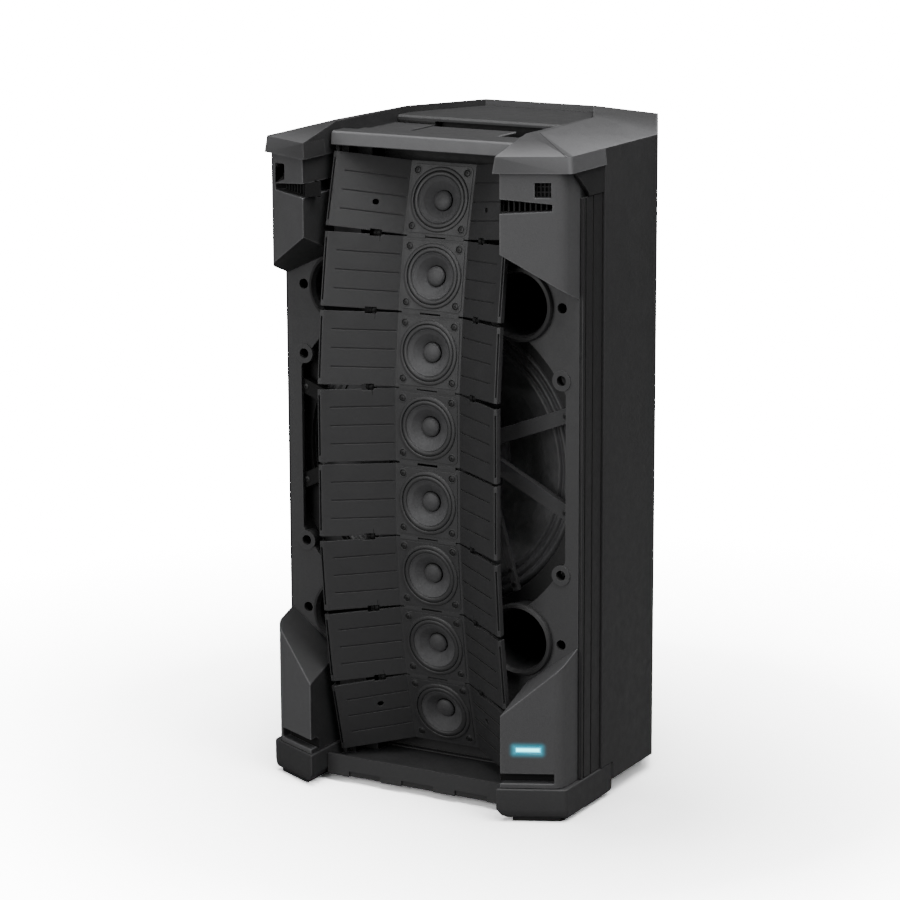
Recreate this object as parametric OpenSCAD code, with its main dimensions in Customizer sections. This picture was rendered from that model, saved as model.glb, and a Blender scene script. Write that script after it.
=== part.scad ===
// Portable line array speaker with its front grille taken off.
// Eight small drivers sit on hinged waveguide modules in front of one woofer.
// Millimetres, +Z up, front towards -Y, origin on the floor at the middle of the footprint.

/* [Cabinet] */
// Thickness of the rubber soles; the heights below are measured from their top
sole_t = 4; // [3:0.5:6]
// Overall width, across the lips of the top cap
cab_w = 334; // [320:1:350]
// Overall depth, front corners to control knobs
cab_d = 373; // [360:1:390]
// Height of the flat ridge on the top cap
ridge_z = 650; // [645:1:660]
// Height of the lower edge of the top cap's lip
lip_z = 620.1; // [615:0.1:625]
// Height of the top of the side panels
panel_top_z = 635.4; // [630:0.1:640]
// Height of the underside of the cabinet
cab_bottom_z = 11.5; // [8:0.5:16]
// Wall thickness of the rear shell
shell_wall = 6; // [4:0.5:9]
// Angle of the rear taper seen from above
taper_angle = 25.7; // [20:0.1:30]

/* [Front] */
// Distance from the foremost corner back to the baffle's face
baffle_y = 61.5; // [58:0.5:66]
// Height of the woofer's centre
woofer_z = 325.5; // [320:0.5:330]
// Radius of the woofer's opening in the baffle
window_r = 167; // [160:1:170]
// Sideways distance of the grille fixing holes
fixing_x = 141.8; // [138:0.1:145]
// Radius of a grille fixing hole
fixing_r = 5; // [3:0.5:6]
// Height of the outer grille holes from the woofer's centre
fixing_outer_z = 163.4; // [160:0.1:170]
// Height of the inner grille holes from the woofer's centre
fixing_inner_z = 94.4; // [90:0.1:100]
// Sideways distance of the bass ports
port_x = 97; // [95:0.5:99]
// Inner radius of a bass port
port_r = 30; // [26:0.5:31]

/* [Array] */
// Height of the middle of the array
array_z = 323.8; // [322:0.1:325]
// Distance back to the face of the two fixed centre plates
array_y = 54.9; // [54:0.1:56]
// Distance from one module to the next along the array
pitch = 74.2; // [74:0.1:75]
// Half the width of a module's centre plate
plate_hw = 35.3; // [34:0.1:36]
// Half the height of a module's centre plate
plate_hh = 36; // [34:0.1:36]
// Half the height of a wing
wing_hh = 36.2; // [34:0.1:36.2]
// Half the width across a module's wings
wing_x = 94.8; // [92:0.1:95]
// How far a wing reaches forward of the centre plate
wing_flare = 40.9; // [38:0.1:42]
// Distance of the hinge line in front of the centre plate
hinge_fwd = 11; // [10:0.5:12]
// Bend at the joint next to the fixed pair, in degrees
bend_inner = 5.3; // [0:0.1:5.3]
// Bend at the middle joint, in degrees
bend_middle = 3.2; // [0:0.1:3.2]
// Bend at the outermost joint, in degrees
bend_outer = 5.6; // [0:0.1:5.6]

/* [Hidden] */
$fn = 64;
gap = 0.3;
bends = [0, bend_inner, bend_middle, bend_outer];
front = -cab_d / 2;
side_x = 165.2;
taper_y = 215.4;
rear_y = 365;
shell_front_y = 103;
horn_x = 103;
trim_x = 160;
baffle_skin = 4.5;
baffle_back_y = shell_front_y - gap;
baffle_bottom_z = 14;
baffle_top_z = 633;
bay_dz = 254;
bay_hh = 52.2;
bay_hw = 76;
bay_y = 108.4;
shoulder_hw = 92;
neck_hw = 56;
port_dz = 163.5;
woofer_y = 88;
woofer_r = 154;
roll_r = 146;
cone_r = 126;
coil_r = 38;
foot_top_z = 29.4;
foot_back_y = 127;
foot_face_a = 25.6;
horn_r = 7;
pillar_in = [105.9, 4.8];
pillar_side_x = 160;
face_a = 25.5;
deck_z = 636.3;
pocket_hw = 60;
panel_y = 361;
panel_t = 3;
panel_face_y = panel_y + panel_t;
wing_a = atan(wing_flare / (wing_x - plate_hw));
wing_len = norm([wing_x - plate_hw, wing_flare]);
pin_r = 1.5;
pin_clear = 0.05;
lug_x = 53.5;
lug_w = 3.5;
pole_r = 17.7;
pole_y = 200;
knob_x = -40;
knob_z = [478, 438];
knob_shaft_r = 3;
rocker_at = [38, 142];
slider_at = [0, 458];

// ---- Helpers -------------------------------------------------------------

// Puts y = 0 at the foremost corner and z = 0 on top of the soles.
module from_front() { translate([0, front, sole_t]) children(); }

// Box from one corner to the opposite one.
module span(a, b) { translate(a) cube(b - a); }

// The same shape on the left and on the right.
module both_sides() {
    children();
    mirror([1, 0, 0]) children();
}

// Round bar along Y from y0 to y1.
module bar_y(y0, y1, r, x = 0, z = 0) {
    translate([x, y1, z]) rotate([90, 0, 0]) cylinder(h = y1 - y0, r = r);
}

// Round bar along X from x0 to x1.
module bar_x(x0, x1, r, y = 0, z = 0) {
    translate([x0, y, z]) rotate([0, 90, 0]) cylinder(h = x1 - x0, r = r);
}

// Turns a profile of [radius, depth] points about an axis along Y.
module turned(points, z = 0) {
    translate([0, 0, z]) rotate([-90, 0, 0]) rotate_extrude($fn = 96) polygon(points);
}

// Everything above the plane through p that rises sx per mm of x and sy per mm of y.
module above_plane(p, sx, sy) {
    translate(p) rotate(a = atan(norm([sx, sy])), v = [sy, -sx, 0])
        translate([-200, -200, 0]) cube([400, 400, 300]);
}

// Points of an arc about c, from angle a0 to a1.
function arc(c, r, a0, a1, steps) =
    [for (i = [0:steps]) c + r * [cos(a0 + (a1 - a0) * i / steps), sin(a0 + (a1 - a0) * i / steps)]];

// ---- Where the modules stand ---------------------------------------------
// Module 4 is the upper fixed one; 3, 2 and 1 hang on each other above it.
// The lower half is the same shape mirrored in height. k counts outwards from the fixed pair.

function tilt(k) = k == 0 ? 0 : tilt(k - 1) + bends[k];

// Point [y, height above the array's middle] of a spot in module k's own frame.
function spot(k, back, up) = centre(k) + [
    back * cos(tilt(k)) + up * sin(tilt(k)),
    -back * sin(tilt(k)) + up * cos(tilt(k))];
function pivot(k) = spot(k - 1, -hinge_fwd, pitch / 2);
function centre(k) = k == 0 ? [array_y, pitch / 2] : pivot(k) - [
    -hinge_fwd * cos(tilt(k)) - pitch / 2 * sin(tilt(k)),
    hinge_fwd * sin(tilt(k)) - pitch / 2 * cos(tilt(k))];

// Carries a shape from a module's own frame to its place in the array.
module at_module(n) {
    k = n <= 4 ? 4 - n : n - 5;
    up = n <= 4 ? 0 : 1;
    from_front() translate([0, 0, array_z]) mirror([0, 0, up])
        translate([0, centre(k).x, centre(k).y]) rotate([-tilt(k), 0, 0]) children();
}

// ---- Cabinet shells ------------------------------------------------------

// Plan of the cabinet from y0 back, drawn in by the wall w.
module cabinet_plan(y0, w) {
    slope = tan(taper_angle);
    edge = side_x - w / cos(taper_angle);
    turn_y = taper_y - (w / cos(taper_angle) - w) / slope;
    back = rear_y - w;
    back_x = edge - (back - taper_y) * slope;
    polygon([
        [-side_x + w, y0], [side_x - w, y0], [side_x - w, turn_y], [back_x, back],
        [-back_x, back], [-side_x + w, turn_y]]);
}

// Space that a front foot takes out of the corner above it.
module foot_room() {
    both_sides() span([102.9, 40, 0], [180, foot_back_y + gap, foot_top_z + gap]);
}

module rear_shell() {
    inner_z = panel_top_z - cab_bottom_z - 2 * shell_wall;
    color([0.19, 0.19, 0.2]) from_front() difference() {
        translate([0, 0, cab_bottom_z]) linear_extrude(panel_top_z - cab_bottom_z)
            cabinet_plan(shell_front_y, 0);
        translate([0, 0, cab_bottom_z + shell_wall]) linear_extrude(inner_z)
            cabinet_plan(shell_front_y - 1, shell_wall);
        span([-105, 90, panel_top_z - 10], [105, 222, panel_top_z + 1]);
        span([-70.5, panel_y, 109.5], [70.5, rear_y + 1, 520.5]);
        span([-64, rear_y - 10, 116], [64, rear_y + 1, 514]);
        translate([0, pole_y, cab_bottom_z - 1]) cylinder(h = shell_wall + 2, r = 24);
        foot_room();
    }
}

function port_zs() = [woofer_z - port_dz, woofer_z + port_dz];

// One box of an array bay: half width, nearest and farthest height from the middle, depth.
module bay_box(s, w, hw, d0, d1, y1) {
    z = [array_z + s * d0, array_z + s * d1];
    span([-hw - w, baffle_y - 1 + 2 * w, min(z) - w], [hw + w, y1 + w, max(z) + w]);
}

// Bay at each end, where the tilted modules reach back, drawn out by the wall w. It is open at its
// far end, where the tray or the bar closes it.
module array_bay(s, w) {
    far = bay_dz + bay_hh + 5;
    bay_box(s, w, bay_hw, bay_dz - bay_hh - 9, far, bay_y);
    bay_box(s, w, 66, bay_dz - bay_hh - 28, far, bay_y);
    bay_box(s, w, shoulder_hw, bay_dz - 10, far, 84);
    bay_box(s, w, neck_hw, bay_dz - bay_hh - 48, bay_dz - bay_hh + 1, bay_y);
    bay_box(s, w, 99, bay_dz + 20, far, 67);
}

module fixing_spots(spots, r, y0, y1) {
    both_sides() for (dz = spots, s = [-1, 1]) bar_y(y0, y1, r, fixing_x, woofer_z + s * dz);
}

// Raised rings round the inner grille holes, which stand out into the woofer's window.
module fixing_bosses(y0, y1) {
    fixing_spots([fixing_inner_z], fixing_r + 4.6, y0, y1);
}

// Opening in front of the woofer; the narrow side strips stay in front of its rim.
module woofer_window() {
    difference() {
        intersection() {
            bar_y(baffle_y - 2, woofer_y - 6, window_r, 0, woofer_z, $fn = 128);
            union() {
                span([-146, baffle_y - 3, 100], [146, woofer_y, 550]);
                span([-155, baffle_y + baffle_skin, 100], [155, woofer_y, 550]);
            }
        }
        fixing_bosses(baffle_y - 3, baffle_y + 9);
    }
    bar_y(woofer_y - 8, woofer_y + 1, roll_r + 1.5, 0, woofer_z, $fn = 128);
}

// Flat front with the woofer window, port holes, two array bays and the grille bosses.
module front_baffle() {
    color([0.24, 0.24, 0.25]) from_front() difference() {
        union() {
            difference() {
                span([-trim_x, baffle_y, baffle_bottom_z], [trim_x, baffle_back_y, baffle_top_z]);
                span([-trim_x + 4, baffle_y + baffle_skin, baffle_bottom_z + 4],
                    [trim_x - 4, baffle_back_y + 1, baffle_top_z - 4]);
            }
            intersection() {
                bar_y(baffle_y + 1, woofer_y, window_r + 3, 0, woofer_z, $fn = 128);
                span([-trim_x, baffle_y, 100], [trim_x, woofer_y, 550]);
            }
            intersection() {
                for (s = [-1, 1]) array_bay(s, 3);
                span([-trim_x, 0, baffle_bottom_z], [trim_x, 200, baffle_top_z]);
            }
            fixing_bosses(baffle_y - 1.4, baffle_y + 9);
        }
        woofer_window();
        for (s = [-1, 1]) array_bay(s, 0);
        both_sides() for (z = port_zs())
            bar_y(baffle_y - 1, baffle_back_y + 10, port_r + 3.3, port_x, z);
        fixing_spots([fixing_inner_z, fixing_outer_z], fixing_r, baffle_y - 3, baffle_y + 10);
        bar_y(woofer_y, baffle_back_y + 9, woofer_r + gap, 0, woofer_z, $fn = 128);
        span([-trim_x, baffle_back_y, 0], [trim_x, 200, cab_bottom_z + shell_wall + gap]);
        foot_room();
    }
}

// Rounded outer corner of a horn, from where its edges would meet and the front edge's slope.
function horn_arc(x, y, a) = arc([x - horn_r, y + horn_r * tan(45 - a / 2)], horn_r, a - 90, 0, 4);

// The same points on the other side, in reverse.
function flipped(points) = [for (i = [len(points) - 1:-1:0]) [-points[i].x, points[i].y]];

// Outline of the cap where it meets the side panels.
function cap_half() = concat(
    [[horn_x, 1.7]], horn_arc(side_x, 34.1, 27.5),
    [[side_x, taper_y], [side_x - (rear_y - taper_y) * tan(taper_angle), rear_y]]);
function cap_outline() = concat(cap_half(), flipped(cap_half()));

// Outline of the flat ridge, drawn in by w; its front runs on to y0.
function ridge_outline(y0, w) = [[-105 + w, y0], [105 - w, y0], [105 - w, 201 - w / 2],
    [62 - w / 2, 286 - w], [-62 + w / 2, 286 - w], [-105 + w, 201 - w / 2]];

// Top of the ridge: its front corners are drawn out over the horns.
function crest() = [[-105, 62], [105, 62], [111, 75], [105, 201], [62, 286],
    [-62, 286], [-105, 201], [-111, 75]];

// A convex block between a low outline and a high one.
module loft(low, z_low, high, z_high) {
    hull() {
        translate([0, 0, z_low]) linear_extrude(0.01) polygon(low);
        translate([0, 0, z_high - 0.01]) linear_extrude(0.01) polygon(high);
    }
}

// Horned frame around the top, with the hand pocket moulded into it.
module top_cap() {
    color([0.33, 0.33, 0.34]) from_front() difference() {
        union() {
            difference() {
                union() {
                    loft(cap_outline(), panel_top_z + 0.1, crest(), ridge_z);
                    both_sides() loft(
                        concat([[101, 0]], horn_arc(cab_w / 2, 31.8, 25.3),
                            [[cab_w / 2, baffle_back_y], [horn_x, baffle_back_y]]), lip_z,
                        concat([[horn_x, 1.7]], horn_arc(side_x, 34.1, 27.5),
                            [[side_x, baffle_back_y], [horn_x, baffle_back_y]]),
                        panel_top_z + 0.2);
                }
                translate([0, 0, lip_z - 1]) linear_extrude(50)
                    polygon(ridge_outline(40, 2));
                span([-horn_x, -5, lip_z + 15], [horn_x, 60, ridge_z + 5]);
                both_sides() span([80, baffle_y, lip_z - 1], [trim_x + 0.1, baffle_back_y + 0.1,
                    baffle_top_z + 0.2]);
            }
            span([-104.6, 112, 597], [104.6, 221.5, panel_top_z + 0.6]);
        }
        span([-pocket_hw, 118, 600], [pocket_hw, 215, ridge_z]);
    }
}

// Slab behind the hand pocket, hollow under its front; the fingers close round the rib there.
module carry_handle() {
    top = 643.6;
    lip_y = 178;
    edge = 2;
    hw = pocket_hw - gap;
    color([0.3, 0.3, 0.31]) from_front() {
        difference() {
            intersection() {
                translate([0, 0, deck_z]) linear_extrude(top - deck_z)
                    polygon(ridge_outline(lip_y, 2.4));
                translate([-horn_x, 0, 0]) rotate([90, 0, 90]) linear_extrude(2 * horn_x)
                    polygon([[lip_y, deck_z], [lip_y, top - edge], [lip_y + edge, top],
                        [rear_y, top], [rear_y, deck_z]]);
            }
            span([-hw, lip_y - 1, deck_z - 1], [hw, 214, deck_z + 2.7]);
        }
        span([-hw + 1, lip_y + 12, 621], [hw - 1, lip_y + 18, deck_z + 3]);
    }
}

// Front bar between the horns; its deck closes the top of the array bay and covers the front
// of the hand pocket with a tongue.
module top_cross_bar() {
    deck_t = 2.2;
    section = [[48, 629], [56, 629], [61, deck_z], [112, deck_z], [112, deck_z + deck_t],
        [74, deck_z + deck_t], [72, 642.5], [53, 642.5], [50, 641]];
    color([0.34, 0.34, 0.35]) from_front() {
        translate([-101, 0, 0]) rotate([90, 0, 90]) linear_extrude(202) polygon(section);
        span([-46, 111, deck_z], [46, 150, deck_z + deck_t]);
    }
}

// Floor of the array bay and the sill across the front.
module base_tray() {
    hw = 102.6;
    floor_z = 16.8;
    sill = [[30, 3], [34, 3], [36, 12], [36, 22.6], [33.6, 24.2], [31, 24.2]];
    color([0.16, 0.16, 0.17]) from_front() difference() {
        union() {
            span([-hw, 33, 12], [hw, baffle_y - gap, floor_z]);
            for (b = [[99, 67], [shoulder_hw, 84], [bay_hw, shell_front_y - gap]])
                span([-b.x + gap, 33, 12], [b.x - gap, b.y - gap, floor_z]);
            translate([-hw, 0, 0]) rotate([90, 0, 90]) linear_extrude(2 * hw) polygon(sill);
        }
        for (x = [-60, 0, 60]) span([x - 18, 28, -1], [x + 18, 32.2, 9]);
        for (x = [-45, 15]) translate([x, 50, 10]) cylinder(h = 10, r = 1.6);
    }
}

// ---- Front corner pillars and feet ---------------------------------------

// Plan of a pillar: a slanted face, a rounded outer corner and a straight side.
module pillar_plan() {
    r = 14;
    corner = [pillar_side_x, pillar_in.y + (pillar_side_x - pillar_in.x) * tan(face_a)];
    c = corner + [-r, r * tan(45 - face_a / 2)];
    polygon(concat([pillar_in], arc(c, r, face_a - 90, 0, 6),
        [[pillar_side_x, baffle_y - 0.1], [pillar_in.x, baffle_y - 0.1]]));
}

// Puts x along the slanted face from its inner corner and y into the pillar.
module on_face() {
    translate([pillar_in.x, pillar_in.y, 0]) rotate([0, 0, face_a]) children();
}

// Upper pillar of the right side: cut off on a slant below, with a window and a wedge slot.
module upper_pillar() {
    difference() {
        translate([0, 0, 480]) linear_extrude(lip_z - 0.1 - 480) pillar_plan();
        mirror([0, 0, 1]) above_plane([pillar_in.x, pillar_in.y, -545], 0.47, 0.37);
        on_face() span([32.4, -8, 597.5], [47.5, 26, 611.5]);
        on_face() translate([0, 24, 0]) rotate([90, 0, 0]) linear_extrude(40)
            polygon([[-6, 582.2], [48.5, 585.3], [48.5, 591.5], [-6, 596.8]]);
        span([100, -5, 584], [112, baffle_y, 595.5]);
        bar_y(54, 62, port_r + 6.4, port_x, woofer_z + port_dz);
    }
}

// Lower pillar of the right side: its top is cut on a slant, with a slot above the foot.
module lower_pillar() {
    difference() {
        translate([0, 0, foot_top_z + 0.2]) linear_extrude(150) pillar_plan();
        above_plane([pillar_in.x, pillar_in.y, 101.3], 0.746, 0.358);
        bar_y(54, 62, port_r + 6.4, port_x, woofer_z - port_dz);
        on_face() span([-8, -8, 34.4], [52, 10, 44]);
    }
}

module upper_pillar_left() {
    color([0.35, 0.35, 0.36]) from_front() mirror([1, 0, 0]) upper_pillar();
}

module upper_pillar_right() {
    color([0.35, 0.35, 0.36]) from_front() upper_pillar();
}

module lower_pillar_left() {
    color([0.35, 0.35, 0.36]) from_front() mirror([1, 0, 0]) lower_pillar();
}

module lower_pillar_right() {
    color([0.35, 0.35, 0.36]) from_front() difference() {
        lower_pillar();
        on_face() span([15.1, -2, 64.8], [39.5, 3, 71.4]);
    }
}

// Light bar on the right lower pillar.
module status_light() {
    color([0.1, 0.75, 1]) from_front() on_face() span([15.2, 0.3, 64.9], [39.4, 2.9, 71.3]);
}

// Plan of a right foot, drawn in at the front by f, on the inner side by i and outside by o.
function foot_plan(f, i, o) = let (slope = tan(foot_face_a), dy = f / cos(foot_face_a)) [
    [103.3 + i, 1.1 + i * slope + dy], [163.2 - o, 29.8 - o * slope + dy], [164.6 - o, 32 + dy],
    [164.6 - o, foot_back_y - o], [125, foot_back_y - o], [103.3 + i, 96 - i]];

module foot_body() {
    hull() {
        translate([0, 0, 9]) linear_extrude(foot_top_z - 9) polygon(foot_plan(0, 0, 0));
        translate([0, 0, 3]) linear_extrude(0.1) polygon(foot_plan(1.5, 3.5, 0));
        linear_extrude(0.1) polygon(foot_plan(3.5, 8, 1));
    }
}

module foot_left() {
    color([0.27, 0.27, 0.28]) from_front() mirror([1, 0, 0]) foot_body();
}

module foot_right() {
    color([0.27, 0.27, 0.28]) from_front() foot_body();
}

// Rubber: a flat sole under each front foot and a round foot at each rear corner.
module foot_pads() {
    color([0.07, 0.07, 0.07]) from_front() both_sides() {
        translate([0, 0, -sole_t]) linear_extrude(sole_t) polygon(foot_plan(5, 12, 6));
        translate([66, 332, -sole_t]) cylinder(h = cab_bottom_z + sole_t, r = 14);
    }
}

// Ribbed strip in the channel down each side, with the wedge at its top.
module side_trims() {
    x0 = trim_x + gap;
    color([0.15, 0.15, 0.16]) from_front() both_sides() {
        span([x0, 62, foot_top_z + 0.6], [x0 + 1.2, baffle_back_y, 594]);
        for (y = [[63, 67], [69, 82], [84, 101]])
            span([x0, y.x, foot_top_z + 0.6], [x0 + 3, y.y, 594]);
        translate([x0, 0, 0]) rotate([90, 0, 90]) linear_extrude(4.2)
            polygon([[43, lip_z - 0.2], [70, 598.5], [72, 594.6], [baffle_back_y, 594.6],
                [baffle_back_y, lip_z - 0.2]]);
    }
}

// Four flared port tubes behind the corners of the baffle.
module port_tubes() {
    color([0.1, 0.1, 0.1]) from_front() both_sides() difference() {
        for (z = port_zs()) translate([port_x, 0, 0]) turned([
            [port_r + 2.5, 55], [port_r + 5.2, 56], [port_r + 6, 58], [port_r + 6, baffle_y],
            [port_r + 3, baffle_y], [port_r + 3, 170], [port_r, 170], [port_r, 60]], z);
        span([50, 50, 0], [74, 60, 600]);
    }
}

// ---- Woofer --------------------------------------------------------------

// Steel basket, mounted from behind, with six windows.
module woofer_frame() {
    y = woofer_y;
    color([0.12, 0.12, 0.12]) from_front() difference() {
        turned([
            [roll_r + 0.5, y], [woofer_r, y], [woofer_r, y + 4], [roll_r + 4, y + 4],
            [roll_r + 4, y + 13], [84, y + 76], [84, y + 82], [43, y + 82], [43, y + 79],
            [81, y + 79], [81, y + 74], [roll_r + 0.5, y + 11]], woofer_z);
        for (i = [0:5]) translate([0, 0, woofer_z]) rotate([0, 30 + 60 * i, 0])
            span([-22, y + 18, 60], [22, y + 66, 160]);
    }
}

// Motor: ferrite ring between two plates, with the gap that the voice coil runs in.
module woofer_magnet() {
    y = woofer_y + 82;
    color([0.3, 0.3, 0.32]) from_front() turned([
        [coil_r + 2.2, y + 0.1], [70, y + 0.1], [70, y + 8], [78, y + 8], [78, y + 30], [70, y + 30],
        [70, y + 38], [0, y + 38], [0, y + 2], [coil_r - 1.2, y + 2], [coil_r - 1.2, y + 30],
        [coil_r + 2.2, y + 30]], woofer_z);
}

// Everything that moves in the woofer: half roll, cone, dust cap and voice coil.
module woofer_cone() {
    y = woofer_y;
    roll_m = (roll_r + cone_r) / 2;
    roll_h = (roll_r - cone_r) / 2;
    roll_flat = 0.4;
    outer = [for (p = arc([roll_m, y + 3], roll_h, 0, -180, 12)) [p.x, y + 3 + (p.y - y - 3) * roll_flat]];
    inner = [for (p = arc([roll_m, y + 3], roll_h - 1.2, -180, 0, 12))
        [p.x, y + 4.2 + (p.y - y - 3) * roll_flat]];
    cap = [for (p = arc([0, y + 92], 62, -50, -90, 8)) p];
    color([0.14, 0.14, 0.14]) from_front() turned(concat(
        outer, [[48, y + 46]], [for (p = cap) [p.x, p.y + 0.5]],
        [[0, y + 32], [36, y + 45], [coil_r - 0.6, y + 54], [coil_r - 0.6, y + 100],
        [coil_r + 0.6, y + 100], [coil_r + 0.6, y + 56], [cone_r, y + 5]], inner), woofer_z);
}

// Channel behind the two fixed modules and the flat arms that carry it across the window.
module array_brace() {
    hw = 29.5;
    y0 = 58.2;
    color([0.22, 0.22, 0.23]) from_front() {
        for (s = [-1, 1]) translate([s * (hw + 1.5), 0, 0])
            span([-1.5, y0, array_z - 72], [1.5, 99, array_z + 72]);
        span([-hw, 96, array_z - 72], [hw, 99, array_z + 72]);
        both_sides() {
            intersection() {
                union() {
                    brace_arm([hw + 3, 343], [152, 388.5], 14, 66.2, 73);
                    brace_arm([hw + 3, 348], [152, 287.5], 14, 66.2, 73);
                }
                span([hw + 3, 60, 100], [154.6, 90, 550]);
            }
            brace_arm([52, 330], [87, 206], 6, 72.8, 78);
        }
    }
}

// Flat bar from a to b in the X-Z plane.
module brace_arm(a, b, w, y0, y1) {
    d = b - a;
    translate([a.x, 0, a.y]) rotate([0, -atan2(d.y, d.x), 0])
        span([0, y0, -w / 2], [norm(d), y1, w / 2]);
}

// ---- Array modules, drawn in their own frame -----------------------------
// x across, y back from the plate's face, z up from the plate's middle.

// Puts x along the right wing from the plate's edge and y into the wing.
module on_wing() { translate([plate_hw, 0, 0]) rotate([0, 0, -wing_a]) children(); }

module wing_plan() {
    t = 3;
    fall = tan(wing_a);
    back_y = t / cos(wing_a);
    x1 = wing_x + 3.5;
    polygon([[plate_hw, 0], [wing_x, -wing_flare], [x1, -wing_flare], [x1, -34], [x1 - 2.6, -34],
        [x1 - 2.6, back_y - fall * (x1 - 2.6 - plate_hw)], [plate_hw, back_y]]);
}

// A hinge lug: a knuckle on the hinge line and the web that ties it to the wing.
module lug(x, hole_r) {
    difference() {
        union() {
            bar_x(x, x + lug_w, 4, -hinge_fwd, pitch / 2);
            span([x, -hinge_fwd - 2.4, 29], [x + lug_w, -hinge_fwd + 3.4, pitch / 2]);
        }
        bar_x(x - 1, x + lug_w + 1, hole_r, -hinge_fwd, pitch / 2);
    }
}

// Waveguide moulding k places out from the fixed pair.
module waveguide(k) {
    toward = k > 0;
    away = k < 3;
    color([0.2, 0.2, 0.21]) {
        difference() {
            union() {
                span([-plate_hw, 0, -plate_hh], [plate_hw, 3, plate_hh]);
                both_sides() translate([0, 0, -wing_hh]) linear_extrude(2 * wing_hh) wing_plan();
            }
            bar_y(-1, 4, 28.5);
            both_sides() {
                for (z = [-18.1, 0, 18.1])
                    on_wing() span([1.6, -1, z - 0.8], [wing_len - 9, 1.2, z + 0.8]);
                span([wing_x + 1.1, -wing_flare - 1, -30], [wing_x + 2.3, -wing_flare + 2.4, 30]);
                if (away) span([52.6, -30, 32.3], [61.9, 10, 40]);
                if (toward) span([52.6, -30, -40], [61.9, 10, -32.3]);
                if (k == 3) on_wing() for (x = [28.7, 31.3]) translate([x, 8, -8])
                    rotate([90, 0, 0]) cylinder(h = 16, r = 2.7);
            }
            for (x = [-1, 1], z = [-1, 1]) bar_y(-1, 4, 1.3, x * 27, z * 27);
        }
        both_sides() {
            if (away) lug(lug_x, pin_r);
            if (toward) mirror([0, 0, 1]) lug(lug_x + lug_w + gap, pin_r + pin_clear);
        }
    }
}

// Pins of the joint between module k and the next one out, pressed into module k's lugs.
module hinge_pins() {
    both_sides() bar_x(lug_x - 0.5, lug_x + 2 * lug_w + gap + 0.5, pin_r, -hinge_fwd, pitch / 2);
}

// Square flange, basket and neodymium motor of one driver.
module driver_frame() {
    color([0.13, 0.13, 0.14]) difference() {
        union() {
            difference() {
                linear_extrude_y(-1.6, -0.05)
                    polygon([for (s = [[1, 1], [-1, 1], [-1, -1], [1, -1]], c = [0, 1])
                        let (m = s.x * s.y > 0 ? c : 1 - c) [s.x * (33 - 5 * m), s.y * (28 + 5 * m)]]);
                bar_y(-2, 1, 27.2);
            }
            turned([[27.6, -1.6], [27.6, -3.2], [30.6, -3.2], [31.2, -1.6]]);
            turned([[27.2, -0.1], [28.2, -0.1], [28.2, 12.5], [10, 12.5], [10, 11.3], [27.2, 11.3]]);
            turned([[9.4, 12.5], [13, 12.5], [13, 22], [0, 22], [0, 13.5], [7.9, 13.5],
                [7.9, 19], [9.4, 19]]);
        }
        for (x = [-1, 1], z = [-1, 1]) bar_y(-4, 1, 1.7, x * 27, z * 27);
    }
}

// A profile in the X-Z plane, drawn out along Y.
module linear_extrude_y(y0, y1) {
    translate([0, y1, 0]) rotate([90, 0, 0]) linear_extrude(y1 - y0) children();
}

// Surround, cone, dust cap and coil former of one driver, as one moving piece.
module driver_cone() {
    roll = arc([24.9, -0.8], 1.9, 0, -180, 8);
    under = arc([24.9, -0.8], 1.3, -180, 0, 8);
    dome = arc([0, 16.6], 13, -42, -90, 6);
    color([0.17, 0.17, 0.18]) turned(concat(
        roll, [[9.9, 8]], dome, [[0, 4.4], [8.2, 8.8], [8.2, 16], [9, 16], [9, 9.8],
        [10.4, 9], [23, 0.2]], under));
}

// ---- Rear controls, drawn from the front corner back ----------------------

// Aluminium plate that carries the electronics.
module amp_panel() {
    color([0.1, 0.1, 0.11]) from_front() difference() {
        span([-70.2, panel_y + 0.1, 110], [70.2, panel_face_y, 520]);
        for (z = knob_z) bar_y(panel_y - 1, rear_y, knob_shaft_r + 0.07, knob_x, z);
        for (p = jack_spots()) bar_y(panel_y - 1, rear_y, 11.2, p.x, p.y);
        span([slider_at.x - 7, panel_y - 1, slider_at.y - 3], [slider_at.x + 7, rear_y, slider_at.y + 3]);
        span([rocker_at.x - 9.5, panel_y - 1, rocker_at.y - 8.5],
            [rocker_at.x + 9.5, rear_y, rocker_at.y + 8.5]);
        span([-44, panel_y - 1, 128.5], [-14, rear_y, 155.5]);
        for (x = [-1, 1], z = [118, 248, 382, 512])
            bar_y(panel_y - 1, rear_y, 2, x * 65, z);
    }
}

function jack_spots() = [[40, 478], [40, 438], [0, 492], [0, 424]];

// Finned heat sink on the panel.
module heat_sink() {
    color([0.16, 0.16, 0.17]) from_front() {
        span([-52, panel_face_y + 0.1, 176], [52, panel_face_y + 2.6, 396]);
        for (i = [0:12]) span([-51 + i * 8.35, panel_face_y + 2.6, 178],
            [-49.2 + i * 8.35, panel_face_y + 8, 394]);
    }
}

// Three-pin mains inlet.
module power_inlet() {
    color([0.06, 0.06, 0.06]) from_front() difference() {
        union() {
            span([-47, panel_face_y + 0.1, 126], [-11, panel_face_y + 1.8, 158]);
            span([-43.6, 338, 128.9], [-14.4, panel_face_y + 0.1, 155.1]);
        }
        span([-41, 346, 132], [-17, rear_y + 2, 152]);
    }
    color([0.7, 0.7, 0.7]) from_front() for (p = [[-36, 139.5], [-29, 145.5], [-22, 139.5]])
        span([p.x - 0.8, 346, p.y - 2], [p.x + 0.8, 361, p.y + 2]);
}

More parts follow.
